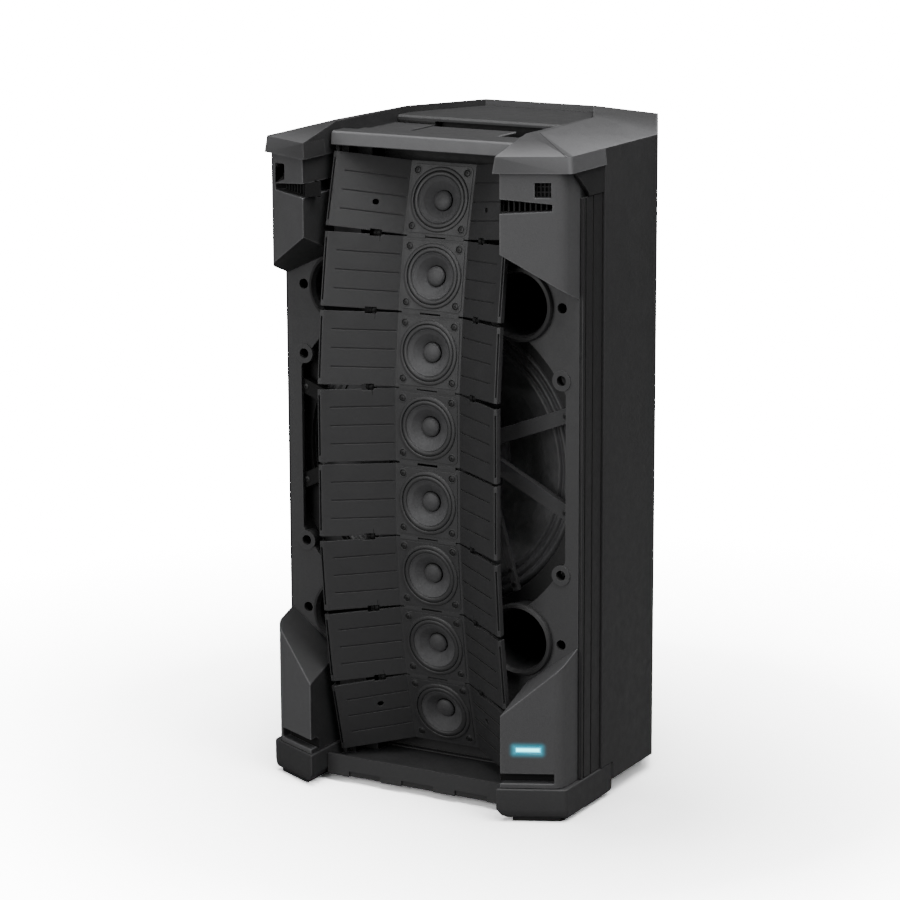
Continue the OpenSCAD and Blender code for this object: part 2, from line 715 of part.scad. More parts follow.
// Two combination inputs, an output and an auxiliary input.
module input_jacks() {
    color([0.08, 0.08, 0.08]) from_front() for (p = jack_spots())
        difference() {
            union() {
                bar_y(panel_face_y + 0.1, panel_face_y + 1.6, 12.6, p.x, p.y);
                bar_y(340, panel_face_y + 0.1, 11, p.x, p.y);
            }
            bar_y(350, rear_y + 3, 8.6, p.x, p.y);
        }
}

module channel_knob(z) {
    color([0.09, 0.09, 0.1]) from_front() difference() {
        union() {
            bar_y(panel_face_y + 0.5, cab_d, 8.2, knob_x, z);
            bar_y(350, panel_face_y + 1, knob_shaft_r, knob_x, z);
        }
        span([knob_x - 0.6, cab_d - 0.8, z], [knob_x + 0.6, cab_d + 1, z + 7.2]);
    }
}

module channel_knob_1() { channel_knob(knob_z[0]); }
module channel_knob_2() { channel_knob(knob_z[1]); }

// Rocker that turns about a pin along X behind the panel.
module power_switch() {
    color([0.05, 0.05, 0.05]) from_front() intersection() {
        bar_x(rocker_at.x - 9, rocker_at.x + 9, 10, panel_face_y - 6, rocker_at.y);
        span([rocker_at.x - 9, panel_face_y - 8, rocker_at.y - 7],
            [rocker_at.x + 9, panel_face_y + 5, rocker_at.y + 7]);
    }
}

// Slide switch for the two tone settings.
module mode_switch() {
    color([0.75, 0.75, 0.75]) from_front()
        span([slider_at.x - 6.6, panel_y - 6, slider_at.y - 2.6],
            [slider_at.x - 0.6, panel_face_y + 3, slider_at.y + 2.6]);
}

// Circuit board on four posts from the panel, with its larger components.
module amplifier_board() {
    color([0.1, 0.3, 0.15]) from_front() {
        for (x = [-54, 54], z = [180, 402]) bar_y(327, panel_y, 3, x, z);
        span([-60, 326, 172], [60, 328, 410]);
        for (z = [200, 240, 280, 320]) bar_y(328, 352, 9, -38, z);
        span([-16, 328, 190], [30, 344, 240]);
        span([-16, 328, 270], [40, 338, 380]);
    }
}

// Switching power supply in its cage.
module power_supply() {
    base = cab_bottom_z + shell_wall + 0.1;
    color([0.6, 0.6, 0.62]) from_front() difference() {
        span([-58, 262, base], [58, 322, base + 120]);
        span([-56, 264, base + 2], [56, 320, base + 118]);
        for (x = [-48:12:48]) span([x - 3, 270, base + 117], [x + 3, 314, base + 121]);
    }
}

// Cup for a 35 mm speaker pole, open below.
module pole_socket() {
    color([0.2, 0.2, 0.2]) from_front() translate([0, pole_y, 0]) difference() {
        union() {
            translate([0, 0, cab_bottom_z - 3]) cylinder(h = 2.9, r = 38);
            translate([0, 0, cab_bottom_z - 1]) cylinder(h = 92, r = 23.6);
        }
        translate([0, 0, 1]) cylinder(h = 96, r = pole_r);
    }
}

// ---- Array nodes ----------------------------------------------------------

module waveguide_1() { at_module(1) waveguide(3); }
module waveguide_2() { at_module(2) waveguide(2); }
module waveguide_3() { at_module(3) waveguide(1); }
module waveguide_4() { at_module(4) waveguide(0); }
module waveguide_5() { at_module(5) waveguide(0); }
module waveguide_6() { at_module(6) waveguide(1); }
module waveguide_7() { at_module(7) waveguide(2); }
module waveguide_8() { at_module(8) waveguide(3); }

// Steel pins; each is held by the module nearer the middle.
module hinge_pins_centre() {
    color("silver") {
        at_module(4) hinge_pins();
        at_module(5) hinge_pins();
    }
}

module hinge_pins_upper_1() { color("silver") at_module(3) hinge_pins(); }
module hinge_pins_upper_2() { color("silver") at_module(2) hinge_pins(); }
module hinge_pins_lower_1() { color("silver") at_module(6) hinge_pins(); }
module hinge_pins_lower_2() { color("silver") at_module(7) hinge_pins(); }

rear_shell();
front_baffle();
top_cap();
top_cross_bar();
carry_handle();
base_tray();
upper_pillar_left();
upper_pillar_right();
lower_pillar_left();
lower_pillar_right();
foot_left();
foot_right();
foot_pads();
side_trims();
port_tubes();
woofer_frame();
woofer_magnet();
woofer_cone();
array_brace();
status_light();
pole_socket();
amp_panel();
heat_sink();
power_inlet();
input_jacks();
channel_knob_1();
channel_knob_2();
power_switch();
mode_switch();
amplifier_board();
power_supply();
waveguide_1();
waveguide_2();
waveguide_3();
waveguide_4();
waveguide_5();
waveguide_6();
waveguide_7();
waveguide_8();
at_module(1) driver_frame();  // driver_frame_1
at_module(2) driver_frame();  // driver_frame_2
at_module(3) driver_frame();  // driver_frame_3
at_module(4) driver_frame();  // driver_frame_4
at_module(5) driver_frame();  // driver_frame_5
at_module(6) driver_frame();  // driver_frame_6
at_module(7) driver_frame();  // driver_frame_7
at_module(8) driver_frame();  // driver_frame_8
at_module(1) driver_cone();  // driver_cone_1
at_module(2) driver_cone();  // driver_cone_2
at_module(3) driver_cone();  // driver_cone_3
at_module(4) driver_cone();  // driver_cone_4
at_module(5) driver_cone();  // driver_cone_5
at_module(6) driver_cone();  // driver_cone_6
at_module(7) driver_cone();  // driver_cone_7
at_module(8) driver_cone();  // driver_cone_8
hinge_pins_centre();
hinge_pins_upper_1();
hinge_pins_upper_2();
hinge_pins_lower_1();
hinge_pins_lower_2();
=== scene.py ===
import math
import bmesh
import bpy
from mathutils import Matrix, Vector


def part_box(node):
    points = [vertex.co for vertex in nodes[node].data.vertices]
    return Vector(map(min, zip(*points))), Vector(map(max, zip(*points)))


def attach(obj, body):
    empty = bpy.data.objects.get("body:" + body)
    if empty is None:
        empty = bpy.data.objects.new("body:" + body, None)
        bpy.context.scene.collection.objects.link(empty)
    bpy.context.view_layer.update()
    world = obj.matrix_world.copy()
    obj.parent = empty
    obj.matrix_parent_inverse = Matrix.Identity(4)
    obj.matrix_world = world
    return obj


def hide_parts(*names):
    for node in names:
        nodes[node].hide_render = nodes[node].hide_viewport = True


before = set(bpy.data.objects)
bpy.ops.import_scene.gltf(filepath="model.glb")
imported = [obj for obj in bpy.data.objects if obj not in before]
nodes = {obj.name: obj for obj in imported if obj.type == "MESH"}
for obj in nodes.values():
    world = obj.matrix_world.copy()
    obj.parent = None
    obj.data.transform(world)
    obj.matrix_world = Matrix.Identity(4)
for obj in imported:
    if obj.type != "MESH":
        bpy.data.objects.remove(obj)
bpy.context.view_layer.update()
scene = bpy.context.scene

MM = 0.001
FRONT = -186.5  # y of the foremost corner, in millimetres
SOLE = 4.0  # height of the soles' top


# ---- Materials ---------------------------------------------------------------

def new_material(name):
    m = bpy.data.materials.new(name)
    m.use_nodes = True
    nt = m.node_tree
    nt.nodes.clear()
    out = nt.nodes.new("ShaderNodeOutputMaterial")
    bsdf = nt.nodes.new("ShaderNodeBsdfPrincipled")
    nt.links.new(bsdf.outputs[0], out.inputs[0])
    return m, nt, bsdf


def add(nt, kind, **inputs):
    n = nt.nodes.new(kind)
    for key, value in inputs.items():
        if hasattr(n, key):
            setattr(n, key, value)
        else:
            n.inputs[key.replace("_", " ")].default_value = value
    return n


def ramp(nt, src, lo, hi, a=0.0, b=1.0):
    n = nt.nodes.new("ShaderNodeMapRange")
    n.inputs["From Min"].default_value = lo
    n.inputs["From Max"].default_value = hi
    n.inputs["To Min"].default_value = a
    n.inputs["To Max"].default_value = b
    nt.links.new(src, n.inputs["Value"])
    return n.outputs[0]


def noise(nt, vec, scale, detail=2.0, rough=0.5):
    n = nt.nodes.new("ShaderNodeTexNoise")
    n.inputs["Scale"].default_value = scale
    n.inputs["Detail"].default_value = detail
    n.inputs["Roughness"].default_value = rough
    nt.links.new(vec, n.inputs["Vector"])
    return n.outputs["Fac"]


def voronoi(nt, vec, scale):
    n = nt.nodes.new("ShaderNodeTexVoronoi")
    n.feature = "SMOOTH_F1"
    n.inputs["Scale"].default_value = scale
    nt.links.new(vec, n.inputs["Vector"])
    return n.outputs["Distance"]


def mix_colour(nt, fac, a, b):
    n = nt.nodes.new("ShaderNodeMix")
    n.data_type = "RGBA"
    for sock, value in ((n.inputs[6], a), (n.inputs[7], b)):
        if isinstance(value, (tuple, list)):
            sock.default_value = (*value[:3], 1)
        else:
            nt.links.new(value, sock)
    if isinstance(fac, (int, float)):
        n.inputs[0].default_value = fac
    else:
        nt.links.new(fac, n.inputs[0])
    return n.outputs[2]


def math_node(nt, op, a, b=None):
    n = nt.nodes.new("ShaderNodeMath")
    n.operation = op
    for i, value in enumerate((a, b)):
        if value is None:
            continue
        if isinstance(value, (int, float)):
            n.inputs[i].default_value = value
        else:
            nt.links.new(value, n.inputs[i])
    return n.outputs[0]


def grey(v, warm=0.0):
    return (v * (1 + warm), v, v * (1.03 - warm))


def object_coords(nt):
    return nt.nodes.new("ShaderNodeTexCoord").outputs["Object"]


def edge_mask(nt, radius):
    """1 on convex and concave edges, 0 on flat faces."""
    bev = nt.nodes.new("ShaderNodeBevel")
    bev.samples = 4
    bev.inputs["Radius"].default_value = radius
    geo = nt.nodes.new("ShaderNodeNewGeometry")
    dot = nt.nodes.new("ShaderNodeVectorMath")
    dot.operation = "DOT_PRODUCT"
    nt.links.new(bev.outputs[0], dot.inputs[0])
    nt.links.new(geo.outputs["Normal"], dot.inputs[1])
    return ramp(nt, dot.outputs["Value"], 0.995, 0.86)


def plastic(name, base, rough=0.55, grain=1100, bump=0.12, mottle=0.06, wear_and_highlight=0.5, sheen=0.5, edge=0.0012,
            slope_light=1.0, top=1.0, shade_deeper_than=None, inner_shade=None, shade_below=None):
    """Moulded plastic with a pebbled grain, uneven gloss, faint dust, and paler edges that are partly wear and
    partly a painted highlight; optional painted shade and light by depth, height and facing.
    """
    m, nt, bsdf = new_material(name)
    co = object_coords(nt)
    pebble = voronoi(nt, co, grain)
    fine = noise(nt, co, grain * 2.3, 2)
    broad = noise(nt, co, 9, 4, 0.6)
    patch = noise(nt, co, 60, 3, 0.6)
    low = grey(base * (1 - mottle))
    high = grey(base * (1 + mottle))
    colour = mix_colour(nt, ramp(nt, broad, 0.3, 0.7), low, high)
    colour = mix_colour(nt, ramp(nt, pebble, 0.1, 0.75, 0.0, 0.28), colour, grey(base * 0.55))
    colour = mix_colour(nt, ramp(nt, patch, 0.62, 0.8, 0.0, 0.05), colour, grey(base * 2.2, 0.02))
    # painted shade: faces deeper than this depth are darkened to a fifth of the base, standing for the shade
    # inside the bays
    if shade_deeper_than is not None:
        inside = nt.nodes.new("ShaderNodeSeparateXYZ")
        nt.links.new(co, inside.inputs[0])
        colour = mix_colour(nt, ramp(nt, inside.outputs[1], shade_deeper_than, shade_deeper_than + 0.003), colour, grey(base * 0.2))
    # painted light: sloping faces get the slope factor and flat tops the top factor, lighter or darker by how
    # light falls on them
    if slope_light != 1.0 or top != 1.0:
        up = nt.nodes.new("ShaderNodeSeparateXYZ")
        nt.links.new(nt.nodes.new("ShaderNodeNewGeometry").outputs["Normal"], up.inputs[0])
        colour = mix_colour(nt, ramp(nt, up.outputs[2], 0.05, 0.35), colour, grey(base * slope_light))
        colour = mix_colour(nt, ramp(nt, up.outputs[2], 0.955, 0.985), colour, grey(base * top))
    # painted shade: everything below this height is darkened to a tenth, standing for the shade under the slab
    if shade_below is not None:
        height_of = nt.nodes.new("ShaderNodeSeparateXYZ")
        nt.links.new(co, height_of.inputs[0])
        below = ramp(nt, height_of.outputs[2], shade_below, shade_below - 0.0008)
        colour = mix_colour(nt, below, colour, grey(base * 0.1))
    # painted shade: on the left side, faces turned toward the middle and upward facets are darkened, standing
    # for shade from the array
    if inner_shade is not None:
        spot_x = nt.nodes.new("ShaderNodeSeparateXYZ")
        nt.links.new(co, spot_x.inputs[0])
        facing = nt.nodes.new("ShaderNodeSeparateXYZ")
        nt.links.new(nt.nodes.new("ShaderNodeNewGeometry").outputs["Normal"], facing.inputs[0])
        left = ramp(nt, spot_x.outputs[0], 0.0, -0.03)
        shade = math_node(nt, "MULTIPLY", left, ramp(nt, facing.outputs[0], 0.2, 0.45))
        colour = mix_colour(nt, shade, colour, grey(base * inner_shade))
        shade = math_node(nt, "MULTIPLY", left, ramp(nt, facing.outputs[2], 0.72, 0.88, 0.0, 0.5))
        colour = mix_colour(nt, shade, colour, grey(base * inner_shade))
    # paler edges: partly real wear, partly a painted highlight along the rounded edges
    if wear_and_highlight > 0:
        worn_and_lit = math_node(nt, "MULTIPLY", edge_mask(nt, edge), ramp(nt, patch, 0.25, 0.7, 0.35, 1.0))
        worn_and_lit = math_node(nt, "MULTIPLY", worn_and_lit, wear_and_highlight)
        colour = mix_colour(nt, worn_and_lit, colour, grey(base * 2.6))
    nt.links.new(colour, bsdf.inputs["Base Color"])
    r = ramp(nt, patch, 0.25, 0.75, rough - 0.07, rough + 0.09)
    r = math_node(nt, "ADD", r, ramp(nt, broad, 0.3, 0.7, -0.03, 0.04))
    nt.links.new(r, bsdf.inputs["Roughness"])
    bsdf.inputs["Specular IOR Level"].default_value = sheen
    height = math_node(nt, "ADD", pebble, math_node(nt, "MULTIPLY", fine, 0.5))
    b = nt.nodes.new("ShaderNodeBump")
    b.inputs["Strength"].default_value = bump
    b.inputs["Distance"].default_value = 0.0004
    nt.links.new(height, b.inputs["Height"])
    nt.links.new(b.outputs[0], bsdf.inputs["Normal"])
    return m


def metal(name, base, rough=0.35, metallic=1.0, scratch=0.2, stretch=(1, 1, 1), grain=900):
    """Metal with drawn or cast grain and uneven gloss."""
    m, nt, bsdf = new_material(name)
    mp = nt.nodes.new("ShaderNodeMapping")
    mp.inputs["Scale"].default_value = stretch
    nt.links.new(object_coords(nt), mp.inputs["Vector"])
    co = mp.outputs[0]
    n1 = noise(nt, co, grain, 3, 0.6)
    n2 = noise(nt, object_coords(nt), 40, 4, 0.6)
    colour = mix_colour(nt, ramp(nt, n2, 0.3, 0.7), grey(base * 0.8), grey(base * 1.15, 0.01))
    colour = mix_colour(nt, ramp(nt, n1, 0.35, 0.7, 0, 0.25), colour, grey(base * 0.6))
    nt.links.new(colour, bsdf.inputs["Base Color"])
    bsdf.inputs["Metallic"].default_value = metallic
    nt.links.new(ramp(nt, n2, 0.25, 0.75, rough - 0.08, rough + 0.1), bsdf.inputs["Roughness"])
    b = nt.nodes.new("ShaderNodeBump")
    b.inputs["Strength"].default_value = scratch
    b.inputs["Distance"].default_value = 0.0002
    nt.links.new(n1, b.inputs["Height"])
    nt.links.new(b.outputs[0], bsdf.inputs["Normal"])
    return m


def paper(name, base, rough=0.75):
    """Pressed pulp: short fibres and faint blotches."""
    m, nt, bsdf = new_material(name)
    co = object_coords(nt)
    fibre = noise(nt, co, 1500, 4, 0.7)
    blot = noise(nt, co, 120, 3, 0.6)
    colour = mix_colour(nt, ramp(nt, blot, 0.3, 0.7), grey(base * 0.85), grey(base * 1.2))
    colour = mix_colour(nt, ramp(nt, fibre, 0.45, 0.75, 0, 0.3), colour, grey(base * 1.8))
    nt.links.new(colour, bsdf.inputs["Base Color"])
    nt.links.new(ramp(nt, blot, 0.3, 0.7, rough - 0.08, rough + 0.08), bsdf.inputs["Roughness"])
    b = nt.nodes.new("ShaderNodeBump")
    b.inputs["Strength"].default_value = 0.25
    b.inputs["Distance"].default_value = 0.0003
    nt.links.new(fibre, b.inputs["Height"])
    nt.links.new(b.outputs[0], bsdf.inputs["Normal"])
    return m


mat_shell = plastic("shell_grain", 0.0225, 0.58, 1000, 0.16, wear_and_highlight=0.45, edge=0.002)
# painted light: the cap's slopes lighter, its tops and left horn darker; the bar's and handle's tops darker,
# and the handle painted dark below its slab
mat_cap = plastic("cap_grain", 0.052, 0.52, 1000, 0.16, wear_and_highlight=0.5, edge=0.002, slope_light=2.5, top=0.5, inner_shade=0.3)
mat_bar = plastic("bar_grain", 0.082, 0.55, 1000, 0.16, wear_and_highlight=0.12, top=0.22)
mat_handle = plastic("handle_grain", 0.03, 0.55, 1000, 0.14, wear_and_highlight=0.4, edge=0.0016, top=0.45, shade_below=0.6430)
# copies of one pillar plastic in different tones: the left pillars' copy is painted lighter, with painted
# shade on faces turned toward the middle
mat_pillar = plastic("pillar_grain", 0.058, 0.55, 1000, 0.16, wear_and_highlight=0.75, edge=0.002)
mat_pillar_left = plastic("pillar_grain_left", 0.068, 0.55, 1000, 0.16, wear_and_highlight=0.8, edge=0.002, inner_shade=0.26)
# painted shade: the baffle is darkened deeper than its front skin
mat_baffle = plastic("baffle_grain", 0.034, 0.58, 1000, 0.14, wear_and_highlight=0.5, shade_deeper_than=(63.2 + FRONT) * MM)
mat_wave = plastic("waveguide_grain", 0.026, 0.55, 1200, 0.12, wear_and_highlight=0.4, edge=0.0008)
mat_trim = plastic("trim_smooth", 0.014, 0.45, 1800, 0.06, wear_and_highlight=0.4)
mat_foot = plastic("foot_grain", 0.026, 0.6, 900, 0.2, wear_and_highlight=0.45, edge=0.002)
mat_tray = plastic("tray_grain", 0.023, 0.6, 1000, 0.14, wear_and_highlight=0.3)
mat_port = plastic("port_smooth", 0.015, 0.6, 1500, 0.08, wear_and_highlight=0.2)
mat_rubber = plastic("pad_rubber", 0.014, 0.85, 500, 0.3, wear_and_highlight=0.1, sheen=0.3)
mat_frame = metal("driver_satin", 0.030, 0.5, 0.1, 0.12, grain=1600)
mat_plate = plastic("flange_grain", 0.024, 0.5, 1300, 0.1, wear_and_highlight=0.45, edge=0.0006)
mat_surround = plastic("surround_rubber", 0.024, 0.48, 2500, 0.05, wear_and_highlight=0.0, sheen=0.5)
mat_cone = paper("cone_pulp", 0.050)
mat_cap_dome = paper("dome_pulp", 0.044, rough=0.6)
mat_woofer = paper("woofer_pulp", 0.075)
mat_roll = plastic("woofer_roll", 0.07, 0.45, 2500, 0.05, wear_and_highlight=0.0)
mat_basket = metal("basket_coat", 0.03, 0.45, 0.2, 0.3, grain=700)
mat_brace = plastic("brace_coat", 0.040, 0.45, 900, 0.2, wear_and_highlight=0.4)
mat_magnet = metal("magnet_ferrite", 0.08, 0.55, 0.7, 0.3, grain=500)
mat_steel = metal("screw_steel", 0.10, 0.38, 0.9, 0.1, grain=1500)
mat_zinc = metal("cage_zinc", 0.5, 0.3, 1.0, 0.1, grain=1500)
mat_pin = metal("pin_black", 0.014, 0.5, 0.2, 0.1, grain=1500)
# near-black: painted shade for the ribs and grids inside the recesses
mat_rib = plastic("rib_dark", 0.009, 0.6, 1500, 0.1, wear_and_highlight=0.0)
mat_panel = metal("panel_coat", 0.022, 0.5, 0.1, 0.35, grain=1100)
mat_sink = metal("sink_anodised", 0.035, 0.38, 0.8, 0.25, stretch=(1, 1, 0.03), grain=2500)
mat_gloss = plastic("connector_gloss", 0.012, 0.25, 2000, 0.03, wear_and_highlight=0.15, sheen=0.5)
mat_knob = plastic("knob_soft", 0.018, 0.7, 2200, 0.1, wear_and_highlight=0.3)
mat_white = plastic("slider_white", 0.5, 0.4, 2000, 0.05, wear_and_highlight=0.0)
# near-black: the hinge pins' own black, and painted shade on recess floors, slot floors, screw crosses and the
# dust cap's rim
mat_dark = plastic("recess_dark", 0.006, 0.7, 1500, 0.1, wear_and_highlight=0.0, sheen=0.2)
mat_board = plastic("board_lacquer", 0.03, 0.35, 700, 0.1, wear_and_highlight=0.0)


def lamp_material():
    """Lit lens: white along its middle, cyan towards its rim."""
    m, nt, bsdf = new_material("lens_lit")
    lo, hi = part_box("status_light")
    c, half = (lo + hi) / 2, (hi - lo) / 2
    sep = nt.nodes.new("ShaderNodeSeparateXYZ")
    nt.links.new(object_coords(nt), sep.inputs[0])

    def share_of_half(i):
        """How far along axis i from the lens's middle, as a share of its half size."""
        offset = math_node(nt, "SUBTRACT", sep.outputs[i], c[i])
        return math_node(nt, "ABSOLUTE", math_node(nt, "DIVIDE", offset, half[i]))

    ax, az = share_of_half(0), share_of_half(2)
    rim = math_node(nt, "MAXIMUM", ramp(nt, ax, 0.80, 1.0), ramp(nt, az, 0.30, 0.85))
    colour = mix_colour(nt, rim, (0.10, 0.95, 1.0), (0.0, 0.45, 0.72))
    grain = noise(nt, object_coords(nt), 900, 2)
    nt.links.new(ramp(nt, grain, 0.3, 0.7, 0.25, 0.4), bsdf.inputs["Roughness"])
    bsdf.inputs["Base Color"].default_value = (0.05, 0.3, 0.4, 1)
    nt.links.new(colour, bsdf.inputs["Emission Color"])
    nt.links.new(ramp(nt, rim, 0, 1, 4.2, 0.4), bsdf.inputs["Emission Strength"])
    return m


def glow(m):
    """Paints the light bar's soft glow onto the plastic right around it as emission."""
    nt = m.node_tree
    bsdf = next(n for n in nt.nodes if n.type == "BSDF_PRINCIPLED")
    lo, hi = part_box("status_light")
    c, half = (lo + hi) / 2, (hi - lo) / 2
    sep = nt.nodes.new("ShaderNodeSeparateXYZ")
    nt.links.new(object_coords(nt), sep.inputs[0])
    gaps = []
    for axis in (0, 2):
        away = math_node(nt, "ABSOLUTE", math_node(nt, "SUBTRACT", sep.outputs[axis], c[axis]))
        gaps.append(math_node(nt, "MAXIMUM", math_node(nt, "SUBTRACT", away, half[axis]), 0.0))
    squares = [math_node(nt, "POWER", g, 2.0) for g in gaps]
    gap = math_node(nt, "SQRT", math_node(nt, "ADD", *squares))
    bsdf.inputs["Emission Color"].default_value = (0.0, 0.36, 0.50, 1)
    nt.links.new(math_node(nt, "POWER", ramp(nt, gap, 0.0065, 0.0), 2.4), bsdf.inputs["Emission Strength"])
    return m


def shade_left(m, x0):
    """Darkens a material beyond x0 on the left, where the wings keep the light out."""
    nt = m.node_tree
    bsdf = next(n for n in nt.nodes if n.type == "BSDF_PRINCIPLED")
    colour = bsdf.inputs["Base Color"].links[0].from_socket
    sep = nt.nodes.new("ShaderNodeSeparateXYZ")
    nt.links.new(object_coords(nt), sep.inputs[0])
    beyond = ramp(nt, sep.outputs[0], x0, x0 - 0.01)
    nt.links.new(mix_colour(nt, beyond, colour, grey(0.003)), bsdf.inputs["Base Color"])
    bsdf.inputs["Specular IOR Level"].default_value = 0.25


shade_left(mat_brace, -0.105)
mat_lamp = lamp_material()
# the lower right pillar's copy is darker, with the light bar's glow painted on as emission
mat_lit_pillar = glow(plastic("pillar_grain_lit", 0.052, 0.55, 1000, 0.16, wear_and_highlight=0.75, edge=0.002))


# ---- CAD nodes: rounded edges and finishes --------------------------------------

BEVEL_ANGLE = math.radians(28)  # edges blunter than this stay as they are
FLAT_ANGLE = math.radians(0.8)  # facets closer than this are one face


def finish(node, material, width=0.6, segments=2):
    """Rounds a CAD node's edges with modifiers only, and gives it its material."""
    o = nodes[node]
    o.data.materials.clear()
    o.data.materials.append(material)
    for p in o.data.polygons:
        p.material_index = 0
        p.use_smooth = True
    if width:
        w = o.modifiers.new("weld", "WELD")
        w.merge_threshold = 2e-6
        d = o.modifiers.new("flat", "DECIMATE")
        d.decimate_type = "DISSOLVE"
        d.angle_limit = FLAT_ANGLE
        b = o.modifiers.new("edge", "BEVEL")
        b.width = width * MM
        b.segments = segments
        b.limit_method = "ANGLE"
        b.angle_limit = BEVEL_ANGLE
        b.miter_outer = "MITER_ARC"
        b.use_clamp_overlap = True
    n = o.modifiers.new("normals", "WEIGHTED_NORMAL")
    n.keep_sharp = False
    n.weight = 60
    return o


finish("rear_shell", mat_shell, 2.5, segments=3)
finish("front_baffle", mat_baffle, 0.5)
finish("top_cap", mat_cap, 3.0, segments=3)
finish("top_cross_bar", mat_bar, 1.0)
finish("carry_handle", mat_handle, 1.0)
finish("base_tray", mat_tray, 0.6)
for n in ("upper_pillar_left", "upper_pillar_right", "lower_pillar_left", "lower_pillar_right"):
    own = {"lower_pillar_right": mat_lit_pillar, "upper_pillar_right": mat_pillar}
    finish(n, own.get(n, mat_pillar_left), 2.2, segments=3)
for n in ("foot_left", "foot_right"):
    finish(n, mat_foot, 2.5, segments=3)
finish("foot_pads", mat_rubber, 0.8)
finish("side_trims", mat_trim, 0.5)
finish("port_tubes", mat_port, 0)
finish("woofer_frame", mat_basket, 0)
finish("woofer_magnet", mat_magnet, 0)
finish("array_brace", mat_brace, 0.5)
finish("status_light", mat_lamp, 0.4)
finish("pole_socket", mat_basket, 0)
finish("amp_panel", mat_panel, 0.3)
finish("heat_sink", mat_sink, 0.4)
finish("power_inlet", mat_gloss, 0.4)
finish("input_jacks", mat_gloss, 0.3)
finish("channel_knob_1", mat_knob, 0.4)
finish("channel_knob_2", mat_knob, 0.4)
finish("power_switch", mat_gloss, 0.5)
finish("mode_switch", mat_white, 0.3)
finish("amplifier_board", mat_board, 0)
finish("power_supply", mat_zinc, 0)
for n in nodes:
    if n.startswith("hinge_pins"):
        finish(n, mat_dark, 0)


# ---- Mesh building -------------------------------------------------------------

def turn(bm, profile, mat=0, segs=72, centre=(0, 0), matrix=None, axis="y"):
    """Turns (radius, depth) points about an axis along Y (or X) into bm, in millimetres."""
    rings = []
    for r, y in profile:
        if r <= 1e-6:
            pts = [(0, y, 0)]
        else:
            pts = [(r * math.cos(2 * math.pi * i / segs), y, r * math.sin(2 * math.pi * i / segs))
                   for i in range(segs)]
        row = []
        for x, yy, z in pts:
            x, z = x + centre[0], z + centre[1]
            v = Vector((x, yy, z)) if axis == "y" else Vector((yy, x, z))
            row.append(bm.verts.new(matrix @ v if matrix else v))
        rings.append(row)
    made = []
    for a, b in zip(rings, rings[1:]):
        for i in range(segs):
            j = (i + 1) % segs
            loop = [a[i % len(a)], a[j % len(a)], b[j % len(b)], b[i % len(b)]]
            loop = [v for k, v in enumerate(loop) if v is not loop[k - 1]]
            if len(loop) > 2:
                f = bm.faces.new(loop)
                f.material_index = mat
                f.smooth = True
                made.append(f)
    return made


def block(bm, lo, hi, mat=0, bevel=0.0, matrix=None, segs=2):
    """Box with rounded edges, in millimetres."""
    part = bmesh.new()
    size = [b - a for a, b in zip(lo, hi)]
    bmesh.ops.create_cube(part, size=1)
    for v in part.verts:
        v.co = Vector([a + (c + 0.5) * d for a, c, d in zip(lo, v.co, size)])
    if bevel > 0:
        bmesh.ops.bevel(part, geom=list(part.edges), offset=bevel, segments=segs, affect="EDGES", profile=0.5)
    merge(bm, part, mat, matrix)


def merge(bm, part, mat=0, matrix=None):
    me = bpy.data.meshes.new("part")
    if matrix:
        part.transform(matrix)
        if matrix.determinant() < 0:
            bmesh.ops.reverse_faces(part, faces=part.faces)
    for f in part.faces:
        f.material_index = mat
        f.smooth = True
    part.to_mesh(me)
    part.free()
    bm.from_mesh(me)
    bpy.data.meshes.remove(me)


def sheet(bm, loops, z0, z1, bevel=0.25, mat=0, matrix=None, rounds=2):
    """Flat plate with holes: loops of (x, y) in millimetres, the first one the outline, with rounded rims."""
    cu = bpy.data.curves.new("sheet", "CURVE")
    cu.dimensions = "2D"
    cu.fill_mode = "BOTH"
    cu.bevel_depth = bevel
    cu.bevel_resolution = rounds
    cu.extrude = max((z1 - z0) / 2 - bevel, 0.001)
    for pts in loops:
        sp = cu.splines.new("POLY")
        sp.points.add(len(pts) - 1)
        for q, (x, y) in zip(sp.points, pts):
            q.co = (x, y, 0, 1)
        sp.use_cyclic_u = True
    ob = bpy.data.objects.new("sheet", cu)
    scene.collection.objects.link(ob)
    dg = bpy.context.evaluated_depsgraph_get()
    me = bpy.data.meshes.new_from_object(ob.evaluated_get(dg))
    part = bmesh.new()
    part.from_mesh(me)
    bmesh.ops.remove_doubles(part, verts=part.verts, dist=1e-4)
    bmesh.ops.recalc_face_normals(part, faces=part.faces)
    for v in part.verts:
        v.co.z += (z0 + z1) / 2
    bpy.data.objects.remove(ob)
    bpy.data.curves.remove(cu)
    bpy.data.meshes.remove(me)
    merge(bm, part, mat, matrix)


def rect(x0, y0, x1, y1, r=0.0, n=5):
    """Rectangle with rounded corners as a loop of points."""
    if r <= 0:
        return [(x0, y0), (x1, y0), (x1, y1), (x0, y1)]
    out = []
    corners = ((x1 - r, y0 + r, -90), (x1 - r, y1 - r, 0), (x0 + r, y1 - r, 90), (x0 + r, y0 + r, 180))
    for cx, cy, a0 in corners:
        for i in range(n + 1):
            a = math.radians(a0 + 90 * i / n)
            out.append((cx + r * math.cos(a), cy + r * math.sin(a)))
    return out


def circle(cx, cy, r, n=48):
    turns = (2 * math.pi * i / n for i in range(n))
    return [(cx + r * math.cos(a), cy + r * math.sin(a)) for a in turns]


def make(name, bm, materials, body, matrix=None, stands_for=(), sharp=40, weighted=True):
    """Turns a bmesh in millimetres into a piece that rides on a body."""
    me = bpy.data.meshes.new(name)
    bm.to_mesh(me)
    bm.free()
    me.transform(Matrix.Scale(MM, 4))
    for m in materials:
        me.materials.append(m)
    if sharp:
        me.set_sharp_from_angle(angle=math.radians(sharp))
    return place(name, me, body, matrix, stands_for, weighted)


